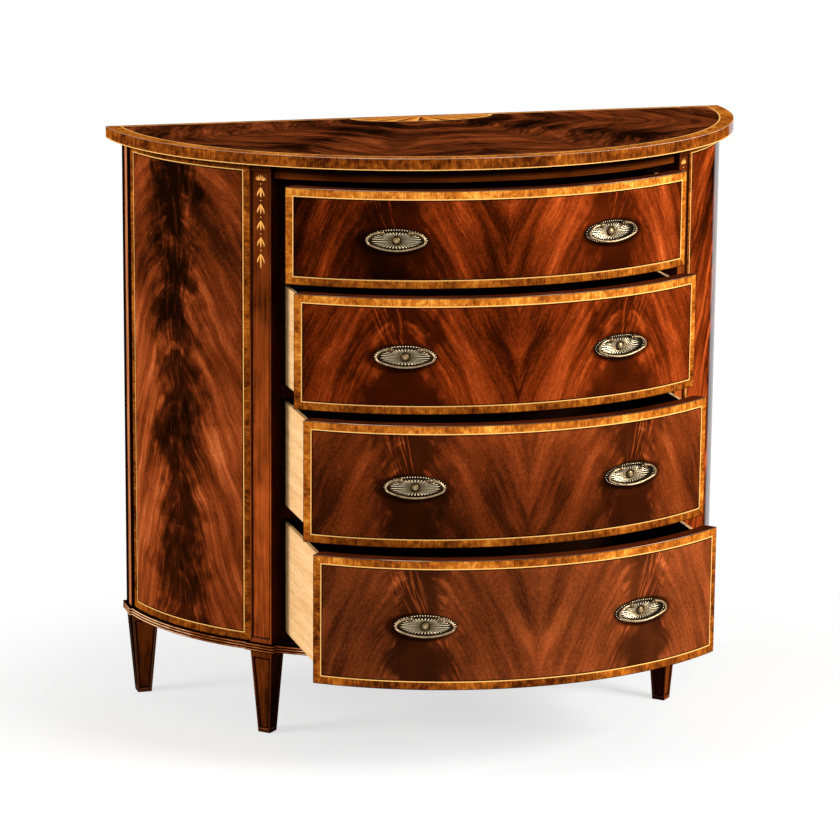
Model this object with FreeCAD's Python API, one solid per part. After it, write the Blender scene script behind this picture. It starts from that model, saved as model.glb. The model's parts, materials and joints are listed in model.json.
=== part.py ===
import FreeCAD, Part
import math
import os

# Demilune chest of drawers: a half-oval case on tapered legs with four bow-fronted drawers.
# Millimetres, +Z up, the drawers face -Y. The plan is drawn from the middle of the top's back
# edge, and at the end every piece moves so that the origin lies on the floor under the middle
# of the whole, with the drawers standing open as far as `openings` says.

# Top
top_half_width = 508.0
top_depth = 445.5
top_thickness = 18.0
side_overhang = 21.0
front_overhang = 27.5
back_overhang = 16.0

# Case plan: half ellipses centred on the middle of the top's back edge
bow_inset = 7.0
side_thickness = 16.0
frieze_height = 22.0
frieze_thickness = 20.0
frieze_gap = 3.6
partition_thickness = 16.0
back_panel_thickness = 8.0
back_panel_inset = 2.0
back_panel_rebate = 10.0

# Corner posts, turned 45 degrees, and back stiles, square to the wall
post_width = 38.0
post_inset = 163.0
post_proud = 4.1
stile_width = 43.0
stile_inset = 1.0

# Base, moulding and legs
base_thickness = 12.5
base_setback = 6.0
moulding_projection = 6.0
reed_count = 3
reed_flat = 0.6
leg_height = 133.5
front_foot_width = 21.0
back_foot_width = 22.5

# Rails, runners and kickers
rail_thickness = 19.0
rail_depth = 70.0
horn_depth = 10.0
runner_width = 22.0
kicker_clearance = 2.0

# Drawers, listed from the top one down
front_heights = (146.0, 174.5, 184.5, 196.5)
openings = (59.0, 110.0, 166.0, 223.5)
front_gap = 4.4
base_gap = 3.7
front_thickness = 22.0
drawer_side_thickness = 6.0
side_rise = 9.6
side_drop = 13.7
side_lap = 12.0
drawer_back_thickness = 12.0
drawer_back_drop = 10.0
drawer_bottom_thickness = 6.0
drawer_bottom_rise = 8.0
groove_depth = 3.0

# Clearances of the drawers
end_clearance = 1.2
seat_clearance = 0.5
side_clearance = 1.0
run_clearance = 0.3
rear_clearance = 6.0

# Pulls
pull_offset = 166.5
plate_half_width = 46.5
plate_half_height = 17.7
plate_thickness = 2.0
plate_rim_width = 3.0
plate_rim_height = 1.2
boss_radius = 6.5
boss_height = 3.0
pull_post_offset = 22.0
pull_post_rise = 12.0
pull_post_neck = 3.0
pull_post_head = 4.3
bail_offset = 8.0
bail_radius = 1.6
bail_half_width = 43.0
bail_drop = 26.5
bail_straight = 4.0
bail_end_radius = 6.0
bail_end_drop = 12.0
bail_pin_inset = 4.9
bail_clearance = 0.1
bolt_radius = 2.2
bolt_hole_clearance = 0.2
bolt_tail = 1.5
nut_radius = 5.5
nut_thickness = 4.0
nut_seat = 3.0

# Screws that hold the top down
screw_radius = 2.0
screw_head_radius = 4.0
screw_head_height = 3.0
screw_bite = 12.0
screw_inset = 45.0

# Levels and places that follow from the sizes above
vector = FreeCAD.Vector
far = 2000.0
side_half_width = top_half_width - side_overhang
bow_half_width = side_half_width - bow_inset
case_depth = top_depth - front_overhang
post_offset = side_half_width - post_inset
base_top = leg_height + base_thickness
front_tops = []
level = base_top + base_gap
for height in reversed(front_heights):
    level += height
    front_tops.insert(0, level)
    level += front_gap
frieze_bottom = front_tops[0] + frieze_gap
case_top = frieze_bottom + frieze_height
overall_height = case_top + top_thickness
front_bottoms = [top - height for top, height in zip(front_tops, front_heights)]
side_bottoms = [bottom + side_rise for bottom in front_bottoms]
side_tops = [top - side_drop for top in front_tops]
runner_tops = [bottom - run_clearance for bottom in side_bottoms]


def ellipse_y(half_width, depth, x):
    return -depth * math.sqrt(1.0 - (x / half_width) ** 2)


post_diagonal = post_width / math.sqrt(2.0)
post_y = ellipse_y(side_half_width, case_depth, post_offset + post_diagonal) - post_proud
bay_half_width = post_offset - post_diagonal
box_half_width = bay_half_width - side_clearance
box_inner = box_half_width - drawer_side_thickness
back_y = -back_overhang
stile_outer = side_half_width - stile_inset
stile_front = back_y - stile_width
panel_back = back_y - back_panel_inset
panel_front = panel_back - back_panel_thickness
drawer_rear = panel_front - rear_clearance
bow_inner_width = bow_half_width - front_thickness
bow_inner_depth = case_depth - front_thickness
jamb_y = ellipse_y(bow_inner_width, bow_inner_depth, bay_half_width)


# Simple solids
def box(x0, x1, y0, y1, z0, z1):
    return Part.makeBox(x1 - x0, y1 - y0, z1 - z0, vector(x0, y0, z0))


def half_oval(half_width, depth, z0, z1):
    across = vector(half_width, 0, z0)
    forward = vector(0, -depth, z0)
    middle = vector(0, 0, z0)
    if half_width >= depth:
        arc = Part.ArcOfEllipse(Part.Ellipse(across, vector(0, depth, z0), middle), math.pi, 2 * math.pi)
    else:
        arc = Part.ArcOfEllipse(Part.Ellipse(forward, across, middle), -math.pi / 2, math.pi / 2)
    curve = arc.toShape()
    chord = Part.makeLine(curve.Vertexes[-1].Point, curve.Vertexes[0].Point)
    return Part.Face(Part.Wire([curve, chord])).extrude(vector(0, 0, z1 - z0))


def half_oval_shell(half_width, depth, thickness, z0, z1):
    outer = half_oval(half_width, depth, z0, z1)
    return outer.cut(half_oval(half_width - thickness, depth - thickness, z0, z1))


def post_square(side, width, z0, z1):
    half = width / 2.0
    return turned_to_post(box(-half, half, -half, half, z0, z1), side)


def outside_post(side, offset, z0, z1):
    # Everything outside a plane parallel to the post's inward face, `offset` in from its axis
    return turned_to_post(box(-far, offset, -far, far, z0, z1), side)


def turned_to_post(shape, side):
    shape.rotate(vector(0, 0, 0), vector(0, 0, 1), -45.0)
    shape.translate(vector(-post_offset, post_y, 0))
    return mirrored(shape) if side > 0 else shape


def mirrored(shape):
    return shape.mirror(vector(0, 0, 0), vector(1, 0, 0))


def pair(shape):
    return Part.makeCompound([shape, mirrored(shape)])


# Top, frieze, back and sides
def make_top():
    return half_oval(top_half_width, top_depth, case_top, overall_height)


def make_frieze():
    rail = half_oval_shell(bow_half_width, case_depth, frieze_thickness, frieze_bottom, case_top)
    for side in (-1, 1):
        rail = rail.cut(outside_post(side, post_width / 2.0, frieze_bottom, case_top))
    return rail


def make_back_panel():
    half = stile_outer - stile_width + back_panel_rebate
    return box(-half, half, panel_front, panel_back, base_top, case_top)


def make_left_stile(back_panel):
    stile = box(-stile_outer, stile_width - stile_outer, stile_front, back_y, base_top, case_top)
    return stile.cut(back_panel)


def make_left_side_panel():
    shell = half_oval_shell(side_half_width, case_depth, side_thickness, base_top, case_top)
    panel = shell.common(box(-far, 0, -far, stile_front, base_top, case_top))
    inner_end = outside_post(-1, -post_width / 2.0, base_top, case_top)
    return panel.common(inner_end)


# Posts, partitions and rails round the drawer compartment
def left_partition_blank():
    outer = bay_half_width + partition_thickness
    return box(-outer, -bay_half_width, jamb_y, panel_front, base_top, case_top)


def make_left_post():
    return post_square(-1, post_width, base_top, case_top).cut(left_partition_blank())


def make_rail(z0, z1):
    front_width = bow_inner_width - seat_clearance
    front_depth = bow_inner_depth - seat_clearance
    shell = half_oval_shell(front_width, front_depth, rail_depth, z0, z1)
    rail = shell.common(box(-bay_half_width, bay_half_width, -far, 0, z0, z1))
    horn = box(-post_offset, post_offset, jamb_y, jamb_y + horn_depth, z0, z1)
    horn = horn.cut(box(-bay_half_width, bay_half_width, -far, 0, z0, z1))
    rail = rail.fuse(horn)
    for side in (-1, 1):
        rail = rail.cut(post_square(side, post_width, z0, z1))
    return max(rail.removeSplitter().Solids, key=lambda solid: solid.Volume)


def make_left_runner(rail, z0, z1):
    strip = box(-bay_half_width, runner_width - bay_half_width, jamb_y, panel_front, z0, z1)
    return max(strip.cut(rail).Solids, key=lambda solid: solid.CenterOfMass.y)


def make_left_kicker(frieze):
    strip = box(-bay_half_width, runner_width - bay_half_width, jamb_y, panel_front,
                side_tops[0] + kicker_clearance, case_top)
    return strip.cut(frieze)


def make_top_screw(x, y, z0):
    head = Part.makeCylinder(screw_head_radius, screw_head_height, vector(x, y, z0))
    shank = Part.makeCylinder(screw_radius, case_top + screw_bite - z0, vector(x, y, z0))
    return head.fuse(shank).removeSplitter()


# Base board, reeded moulding and legs
def make_base_board():
    width = side_half_width - base_setback
    depth = case_depth - base_setback
    board = half_oval(width, depth, leg_height, base_top)
    board = board.common(box(-far, far, -far, back_y, leg_height, base_top))
    for side in (-1, 1):
        board = board.fuse(post_square(side, post_width, leg_height, base_top))
    foot = box(-stile_outer, stile_width - stile_outer, stile_front, back_y, leg_height, base_top)
    return board.fuse(foot).fuse(mirrored(foot)).removeSplitter()


def reeded(make_layer, room):
    # One rounded layer for each reed, cut back to what lies outside the room, then stacked
    reed_height = base_thickness / reed_count
    radius = reed_height / 2.0 - reed_flat / 2.0
    layers = []
    for reed in range(reed_count):
        low = leg_height + reed * reed_height
        layer = make_layer(low, low + reed_height)
        rims = [edge for edge in layer.Edges if is_rim(edge)]
        layers.append(layer.makeFillet(radius, rims).cut(room))
    return layers[0].multiFuse(layers[1:]).Solids


def is_rim(edge):
    level_edge = edge.BoundBox.ZLength < 1e-6
    return level_edge and edge.BoundBox.YMin < -1e-6


def make_moulding(base_board):
    spread = 2.0 * moulding_projection
    low, high = leg_height, base_top
    stile_x0 = -stile_outer - moulding_projection
    stile_x1 = stile_width - stile_outer
    stile_y0 = stile_front - moulding_projection
    stile_y1 = back_y + stile_width
    inside = base_board.fuse(box(-far, far, back_y, far, low, high))
    rooms = [post_square(-1, post_width + spread, low, high),
             box(-far, stile_x1, stile_y0, stile_y1, low, high)]
    rooms.extend([mirrored(room) for room in rooms])
    pieces = reeded(lambda z0, z1: half_oval(side_half_width + moulding_projection,
                                             case_depth + moulding_projection, z0, z1),
                    inside.multiFuse(rooms))
    blocks = reeded(lambda z0, z1: post_square(-1, post_width + spread, z0, z1), inside)
    blocks.extend(reeded(lambda z0, z1: box(stile_x0, stile_x1, stile_y0, stile_y1, z0, z1), inside))
    return Part.makeCompound(pieces + blocks + [mirrored(block) for block in blocks])


def tapered_leg(x, y, top_width, foot_width, turn):
    rings = []
    for width, z in ((foot_width, 0.0), (top_width, leg_height)):
        half = width / 2.0
        signs = ((-1, -1), (1, -1), (1, 1), (-1, 1), (-1, -1))
        rings.append(Part.makePolygon([vector(half * i, half * j, z) for i, j in signs]))
    leg = Part.makeLoft(rings, True, True)
    leg.rotate(vector(0, 0, 0), vector(0, 0, 1), turn)
    leg.translate(vector(x, y, 0))
    return leg


# Pulls, drawn at a local origin on the drawer front with -Y outwards
def pull_places(index):
    # Each pull sits at half height, square to the bow
    y = ellipse_y(bow_half_width, case_depth, pull_offset)
    slope = math.degrees(math.atan2(pull_offset / bow_half_width ** 2, -y / case_depth ** 2))
    z = (front_tops[index] + front_bottoms[index]) / 2.0
    places = []
    for side in (-1, 1):
        turn = FreeCAD.Rotation(vector(0, 0, 1), side * slope)
        places.append(FreeCAD.Placement(vector(side * pull_offset, y, z), turn))
    return places


def placed(shape, place):
    moved = shape.copy()
    moved.transformShape(place.toMatrix(), True)
    return moved


def oval_prism(half_width, half_height, y0, y1):
    if half_width >= half_height:
        oval = Part.Ellipse(vector(half_width, y0, 0), vector(0, y0, half_height), vector(0, y0, 0))
    else:
        oval = Part.Ellipse(vector(0, y0, half_height), vector(half_width, y0, 0), vector(0, y0, 0))
    return Part.Face(Part.Wire([oval.toShape()])).extrude(vector(0, y1 - y0, 0))


def bow_layer(height, z0, z1):
    # The room between the drawer front's face and a bow `height` further out
    return half_oval(bow_half_width + height, case_depth + height, z0, z1)


def make_backplate(place, z0, z1):
    reach = front_thickness
    face = half_oval(bow_half_width, case_depth, z0, z1)
    oval = placed(oval_prism(plate_half_width, plate_half_height, -reach, reach), place)
    hole_width = plate_half_width - plate_rim_width
    hole_height = plate_half_height - plate_rim_width
    rim_hole = placed(oval_prism(hole_width, hole_height, -reach, reach), place)
    plate = oval.common(bow_layer(plate_thickness, z0, z1))
    rim = oval.cut(rim_hole).common(bow_layer(plate_thickness + plate_rim_height, z0, z1))
    ball = (boss_radius ** 2 + boss_height ** 2) / (2.0 * boss_height)
    boss = placed(Part.makeSphere(ball, vector(0, ball - boss_height - plate_thickness, 0)), place)
    boss = boss.common(placed(oval_prism(2 * boss_radius, 2 * boss_radius, -reach, 0.0), place))
    plate = plate.fuse(rim).fuse(boss).cut(face).removeSplitter()
    holes = [cylinder_out(side * pull_post_offset, pull_post_neck + bolt_hole_clearance, reach, -reach)
             for side in (-1, 1)]
    for hole in holes:
        plate = plate.cut(placed(hole, place))
    return max(plate.Solids, key=lambda solid: solid.Volume)


def cylinder_out(x, radius, y0, y1):
    # A round bar at a pull post's place, from y0 inside the front to y1 outside it
    return Part.makeCylinder(radius, y0 - y1, vector(x, y0, pull_post_rise), vector(0, -1, 0))


def make_pull_bolt(side):
    x = side * pull_post_offset
    inner_end = front_thickness - nut_seat + nut_thickness + bolt_tail
    shank = cylinder_out(x, bolt_radius, inner_end, 0.0)
    neck = cylinder_out(x, pull_post_neck, 0.0, -bail_offset)
    head = Part.makeSphere(pull_post_head, vector(x, -bail_offset, pull_post_rise))
    eye_start = vector(x - far / 2.0, -bail_offset, pull_post_rise)
    eye = Part.makeCylinder(bail_radius + bail_clearance, far, eye_start, vector(1, 0, 0))
    return shank.fuse(neck).fuse(head).removeSplitter().cut(eye)


def make_pull_nut(side):
    x = side * pull_post_offset
    seat = front_thickness - nut_seat
    nut = cylinder_out(x, nut_radius, seat + nut_thickness, seat)
    return nut.cut(cylinder_out(x, bolt_radius, seat + nut_thickness, seat))


def radius_meeting_end(run, fall):
    # Radius of the bow that leaves a bail's axis level and runs into its tight end without a kink
    return (run ** 2 + fall ** 2 - bail_end_radius ** 2) / (2.0 * (fall - bail_end_radius))


def make_bail():
    # A wire from one post's eye over a shoulder, round a tight end, along a shallow bow, and back
    straight_x = pull_post_offset + bail_straight
    end_x = bail_half_width - bail_end_radius
    bow_fall = bail_drop - bail_end_drop
    shoulder_radius = radius_meeting_end(end_x - straight_x, bail_end_drop)
    bow_radius = radius_meeting_end(end_x, bow_fall)
    shoulder_turn = math.atan2(end_x - straight_x, shoulder_radius - bail_end_drop)
    end_turn = math.atan2(end_x, bow_fall - bow_radius)

    def at(x, z):
        return vector(x, -bail_offset, pull_post_rise + z)

    def on_arc(x, z, radius, turn):
        return x + radius * math.sin(turn), z + radius * math.cos(turn)

    def shoulder(turn):
        return on_arc(straight_x, -shoulder_radius, shoulder_radius, turn)

    def end(turn):
        return on_arc(end_x, -bail_end_drop, bail_end_radius, turn)

    def arc(side, points):
        return Part.Arc(*[at(side * x, z) for x, z in points]).toShape()

    shoulder_points = [shoulder(turn) for turn in (0.0, shoulder_turn / 2.0, shoulder_turn)]
    end_points = [end(turn) for turn in (shoulder_turn, (shoulder_turn + end_turn) / 2.0, end_turn)]
    bow_x, bow_z = end_points[-1]
    pin = pull_post_offset - bail_pin_inset
    edges = [Part.makeLine(at(-pin, 0), at(-straight_x, 0)),
             arc(-1, shoulder_points),
             arc(-1, end_points),
             Part.Arc(at(-bow_x, bow_z), at(0, -bail_drop), at(bow_x, bow_z)).toShape(),
             arc(1, end_points[::-1]),
             arc(1, shoulder_points[::-1]),
             Part.makeLine(at(straight_x, 0), at(pin, 0))]
    section = Part.Wire([Part.makeCircle(bail_radius, at(-pin, 0), vector(1, 0, 0))])
    return Part.Wire(edges).makePipeShell([section], True, False)


# Drawers
def make_drawer(index):
    z0, z1 = front_bottoms[index], front_tops[index]
    low, high = side_bottoms[index], side_tops[index]
    bottom_low = low + drawer_bottom_rise
    bottom_high = bottom_low + drawer_bottom_thickness
    bottom = half_oval(bow_inner_width + groove_depth, bow_inner_depth + groove_depth,
                       bottom_low, bottom_high)
    groove = box_inner + groove_depth
    bottom = bottom.common(box(-groove, groove, -far, drawer_rear, bottom_low, bottom_high))
    side_front = ellipse_y(bow_inner_width, bow_inner_depth, box_half_width) - side_lap
    left_side = box(-box_half_width, -box_inner, side_front, drawer_rear, low, high).cut(bottom)
    right_side = mirrored(left_side)
    back = box(-box_inner, box_inner, drawer_rear - drawer_back_thickness, drawer_rear,
               bottom_high, high - drawer_back_drop)
    front = half_oval_shell(bow_half_width, case_depth, front_thickness, z0, z1)
    for side in (-1, 1):
        front = front.cut(outside_post(side, post_width / 2.0 + end_clearance, z0, z1))
    seat = box(-far, -box_half_width, jamb_y - seat_clearance, far, z0, z1)
    front = front.cut(seat).cut(mirrored(seat))
    front = front.cut(left_side).cut(right_side).cut(bottom)
    plates, bolts, bails = [], [], []
    for place in pull_places(index):
        plates.append(make_backplate(place, z0, z1))
        bails.append(placed(make_bail(), place))
        for side in (-1, 1):
            x = side * pull_post_offset
            bolts.extend([placed(make_pull_bolt(side), place), placed(make_pull_nut(side), place)])
            hole = cylinder_out(x, bolt_radius + bolt_hole_clearance, 2 * front_thickness, -front_thickness)
            seat_hole = cylinder_out(x, nut_radius + bolt_hole_clearance, 2 * front_thickness,
                                     front_thickness - nut_seat)
            front = front.cut(placed(hole, place)).cut(placed(seat_hole, place))
    name = "drawer_%d_" % (index + 1)
    pieces = {
        "front": front,
        "left_side": left_side,
        "right_side": right_side,
        "back": back,
        "bottom": bottom,
        "backplates": Part.makeCompound(plates),
        "pull_bolts": Part.makeCompound(bolts),
        "left_bail": bails[0],
        "right_bail": bails[1],
    }
    for piece in pieces.values():
        piece.translate(vector(0, -openings[index], 0))
    return {name + key: piece for key, piece in pieces.items()}


# Assembly
def make_case():
    case = {}
    case["top_panel"] = make_top()
    case["frieze_rail"] = make_frieze()
    case["back_panel"] = make_back_panel()
    case["left_back_stile"] = make_left_stile(case["back_panel"])
    case["left_side_panel"] = make_left_side_panel()
    case["left_post"] = make_left_post()
    partition = left_partition_blank().cut(case["frieze_rail"])
    rail_names = ("upper_rail", "middle_rail", "lower_rail", "base_rail")
    runners = []
    for index, name in enumerate(rail_names):
        z1 = runner_tops[index]
        z0 = base_top if name == "base_rail" else z1 - rail_thickness
        case[name] = make_rail(z0, z1)
        partition = partition.cut(case[name])
        runners.append(make_left_runner(case[name], z0, z1))
    case["left_partition"] = partition
    case["drawer_runners"] = Part.makeCompound(runners + [mirrored(runner) for runner in runners])
    kicker = make_left_kicker(case["frieze_rail"])
    screw_x = runner_width / 2.0 - bay_half_width
    screw_places = (panel_front - screw_inset, jamb_y + screw_inset)
    screws = [make_top_screw(screw_x, y, kicker.BoundBox.ZMin) for y in screw_places]
    for screw in screws:
        kicker = kicker.cut(screw)
        case["top_panel"] = case["top_panel"].cut(screw).cut(mirrored(screw))
    case["top_kickers"] = pair(kicker)
    case["top_screws"] = Part.makeCompound(screws + [mirrored(screw) for screw in screws])
    case["base_board"] = make_base_board()
    case["base_moulding"] = make_moulding(case["base_board"])
    stile_x = stile_outer - stile_width / 2.0
    stile_y = (back_y + stile_front) / 2.0
    case["left_front_leg"] = tapered_leg(-post_offset, post_y, post_width, front_foot_width, 45.0)
    case["left_back_leg"] = tapered_leg(-stile_x, stile_y, stile_width, back_foot_width, 0.0)
    for name in [name for name in case if name.startswith("left_")]:
        case[name.replace("left_", "right_")] = mirrored(case[name])
    return case


pieces = make_case()
for number in range(len(front_heights)):
    pieces.update(make_drawer(number))

rest_depth = case_depth + max(openings)
os.makedirs("parts", exist_ok=True)
for name, piece in pieces.items():
    piece.translate(vector(0, rest_depth / 2.0, 0))
    piece.exportStep("parts/%s.step" % name)
    print(name, len(piece.Solids), "solid", round(piece.Volume / 1000.0, 2), "cm3", piece.isValid())
print(len(pieces), "nodes, overall height", overall_height)
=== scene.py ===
import bmesh
import bpy
import json
import math
import numpy as np
from mathutils import Matrix, Vector


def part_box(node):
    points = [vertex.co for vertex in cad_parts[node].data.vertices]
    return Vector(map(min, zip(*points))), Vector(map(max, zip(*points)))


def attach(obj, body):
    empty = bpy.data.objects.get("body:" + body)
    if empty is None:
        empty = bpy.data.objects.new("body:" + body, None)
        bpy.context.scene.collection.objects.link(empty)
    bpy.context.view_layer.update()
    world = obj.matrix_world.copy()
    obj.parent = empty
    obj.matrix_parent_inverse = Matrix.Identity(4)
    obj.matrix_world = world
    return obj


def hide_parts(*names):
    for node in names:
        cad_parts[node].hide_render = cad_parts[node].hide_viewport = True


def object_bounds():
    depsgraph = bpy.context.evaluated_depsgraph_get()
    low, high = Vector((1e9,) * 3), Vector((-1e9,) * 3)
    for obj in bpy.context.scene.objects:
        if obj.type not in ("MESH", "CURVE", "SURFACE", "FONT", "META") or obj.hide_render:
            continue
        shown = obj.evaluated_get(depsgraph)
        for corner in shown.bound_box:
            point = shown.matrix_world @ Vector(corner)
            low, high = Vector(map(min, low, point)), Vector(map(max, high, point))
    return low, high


# Demilune chest of drawers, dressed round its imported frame. Metres, +Z up, the drawers face -Y.
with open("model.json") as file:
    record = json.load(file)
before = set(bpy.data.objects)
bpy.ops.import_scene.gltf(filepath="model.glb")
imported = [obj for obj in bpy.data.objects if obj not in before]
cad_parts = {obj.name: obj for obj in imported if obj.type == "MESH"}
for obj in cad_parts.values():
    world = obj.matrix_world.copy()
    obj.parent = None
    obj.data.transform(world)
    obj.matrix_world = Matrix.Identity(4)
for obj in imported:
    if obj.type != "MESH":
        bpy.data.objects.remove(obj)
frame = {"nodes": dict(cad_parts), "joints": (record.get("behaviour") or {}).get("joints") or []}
cadLow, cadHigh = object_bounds()
nodes = frame["nodes"]
joints = {joint["name"]: joint for joint in frame["joints"]}
drawers = (1, 2, 3, 4)
hands = (("left", -1), ("right", 1))
print("frame loaded,", len(nodes), "nodes")

# Places that the frame gives
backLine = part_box("top_panel")[1].y
legLow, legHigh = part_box("right_front_leg")
postX = (legLow.x + legHigh.x) / 2
postY = (legLow.y + legHigh.y) / 2
postHalf = (legHigh.x - legLow.x) / 2 / math.sqrt(2)


# Meshes

def gridFaces(rows, cols):
    # One quad between each four neighbours of a grid of points
    r, c = np.meshgrid(np.arange(rows - 1), np.arange(cols - 1), indexing="ij")
    first = r * cols + c
    return np.stack([first, first + 1, first + cols + 1, first + cols], -1).reshape(-1, 4)


def sheet(grid, uv=None, zone=0, relief=None):
    # A surface as rows x columns of points, with its map, its finish and its height over the ground
    grid = np.asarray(grid, float)
    shape = grid.shape[:2]
    return {
        "grid": grid,
        "uv": np.zeros((*shape, 2)) if uv is None else np.asarray(uv, float),
        "relief": np.ones(shape) if relief is None else np.asarray(relief, float),
        "zone": zone,
    }


def strip(lowLine, highLine, **more):
    # The ruled surface between two lines of points
    return sheet(np.stack([lowLine, highLine]), **more)


def addObject(name, data):
    made = bpy.data.objects.new(name, data)
    bpy.context.scene.collection.objects.link(made)
    return made


def makePiece(name, sheets, body, finishes, replaces=(), sharp=40.0, arris=0.0, arrisZone=-1):
    # Joins the sheets, welds their seams, turns every face outwards and puts the piece on its body
    points, faces, maps, zones, reliefs = [], [], [], [], []
    start = 0
    for part in sheets:
        rows, cols = part["grid"].shape[:2]
        quads = gridFaces(rows, cols)
        points.append(part["grid"].reshape(-1, 3))
        faces.append(quads + start)
        maps.append(part["uv"].reshape(-1, 2)[quads].reshape(-1, 2))
        zones.append(np.full(len(quads), part["zone"]))
        reliefs.append(part["relief"].reshape(-1))
        start += rows * cols
    mesh = bpy.data.meshes.new(name)
    mesh.from_pydata(np.concatenate(points).tolist(), [], np.concatenate(faces).tolist())
    mesh.uv_layers.new(name="UVMap").data.foreach_set("uv", np.concatenate(maps).ravel())
    mesh.polygons.foreach_set("material_index", np.concatenate(zones))
    mesh.attributes.new("relief", "FLOAT", "POINT").data.foreach_set("value", np.concatenate(reliefs))
    work = bmesh.new()
    work.from_mesh(mesh)
    bmesh.ops.remove_doubles(work, verts=work.verts, dist=1e-6)
    bmesh.ops.dissolve_degenerate(work, edges=work.edges, dist=1e-7)
    bmesh.ops.recalc_face_normals(work, faces=work.faces)
    work.to_mesh(mesh)
    work.free()
    mesh.shade_smooth()
    mesh.set_sharp_from_angle(angle=math.radians(sharp))
    for finish in finishes:
        mesh.materials.append(finish)
    piece = addObject(name, mesh)
    if arris:
        soft = piece.modifiers.new("softArris", "BEVEL")
        soft.width = arris
        soft.segments = 2
        soft.limit_method = "ANGLE"
        soft.angle_limit = math.radians(sharp)
        soft.harden_normals = True
        soft.material = arrisZone
    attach(piece, body)
    if replaces:
        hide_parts(*replaces)
    return piece


def ovalLine(angles, halfWidth, depth, forward=0.0):
    # Half ellipse in plan: angle 0 is the middle of the front and a quarter turn a back corner
    angles = np.asarray(angles, float)
    return np.stack([halfWidth * np.sin(angles), backLine - forward - depth * np.cos(angles)], -1)


def arcLength(line):
    # Distance run along a line of points, from its first
    steps = np.linalg.norm(np.diff(line, axis=0), axis=1)
    return np.concatenate([[0.0], np.cumsum(steps)])


def raised(line, z):
    # A plan line lifted to a height
    return np.concatenate([line, np.full((len(line), 1), z)], 1)


def angleAtPost(halfWidth, depth, offset):
    # Where an ellipse meets a plane parallel to the right post's inward face, offset outwards:
    # halfWidth sin(a) - depth cos(a) = reach, so a = atan(depth / halfWidth) + asin(reach / size)
    reach = postX + postY - backLine + math.sqrt(2) * offset
    return math.atan2(depth, halfWidth) + math.asin(reach / math.hypot(halfWidth, depth))


def wall(line, z0, z1, zone=0):
    # The upright surface over a plan line, mapped in metres from its middle
    along = arcLength(line)
    u = np.stack([along - along[-1] / 2] * 2)
    v = np.stack([np.full(len(line), z0 - z1), np.full(len(line), z1 - z0)]) / 2
    return strip(raised(line, z0), raised(line, z1), uv=np.stack([u, v], -1), zone=zone)


def slabSheets(outer, inner, z0, z1):
    # A bowed board between two plan lines: zone 0 is its show face, zone 1 the rest
    oLow, oHigh = raised(outer, z0), raised(outer, z1)
    iLow, iHigh = raised(inner, z0), raised(inner, z1)
    ends = [strip(np.stack([oLow[k], iLow[k]]), np.stack([oHigh[k], iHigh[k]]), zone=1) for k in (0, -1)]
    rest = [strip(oHigh, iHigh, zone=1), strip(iLow, iHigh, zone=1), strip(oLow, iLow, zone=1)]
    return [wall(outer, z0, z1)] + rest + ends


# Finishes

def tone(red, green, blue):
    # sRGB bytes as the linear colour that a socket takes
    parts = [c / 255 for c in (red, green, blue)]
    return (*[p / 12.92 if p < 0.04 else ((p + 0.055) / 1.055) ** 2.4 for p in parts], 1.0)


class Wire:
    # A socket in a finish; sums written on it add Math nodes
    def __init__(self, finish, socket):
        self.finish = finish
        self.socket = socket

    def math(self, operation, *values):
        return self.finish.node("ShaderNodeMath", {"operation": operation}, dict(enumerate(values)))

    def other(self, name):
        return Wire(self.finish, self.socket.node.outputs[name])

    def rise(self, low, high):
        # Smooth step from 0 at low to 1 at high
        values = {"Value": self, "From Min": low, "From Max": high}
        return self.finish.node("ShaderNodeMapRange", {"interpolation_type": "SMOOTHSTEP"}, values)


def mathMethod(operation, reflected=False):
    if reflected:
        return lambda self, other: self.math(operation, other, self)
    return lambda self, *others: self.math(operation, self, *others)


wireMaths = {
    "__add__": "ADD", "__sub__": "SUBTRACT", "__mul__": "MULTIPLY", "__truediv__": "DIVIDE",
    "__pow__": "POWER", "__abs__": "ABSOLUTE", "least": "MINIMUM", "most": "MAXIMUM",
    "under": "LESS_THAN", "wave": "SINE", "fraction": "FRACT", "turnTo": "ARCTAN2",
}
for name, operation in wireMaths.items():
    setattr(Wire, name, mathMethod(operation))
for name, operation in (("__radd__", "ADD"), ("__rsub__", "SUBTRACT"), ("__rmul__", "MULTIPLY")):
    setattr(Wire, name, mathMethod(operation, True))


polishLook = {"glance": (0.8, 0.84), "weight": 0.75, "roughness": 0.12}


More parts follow.
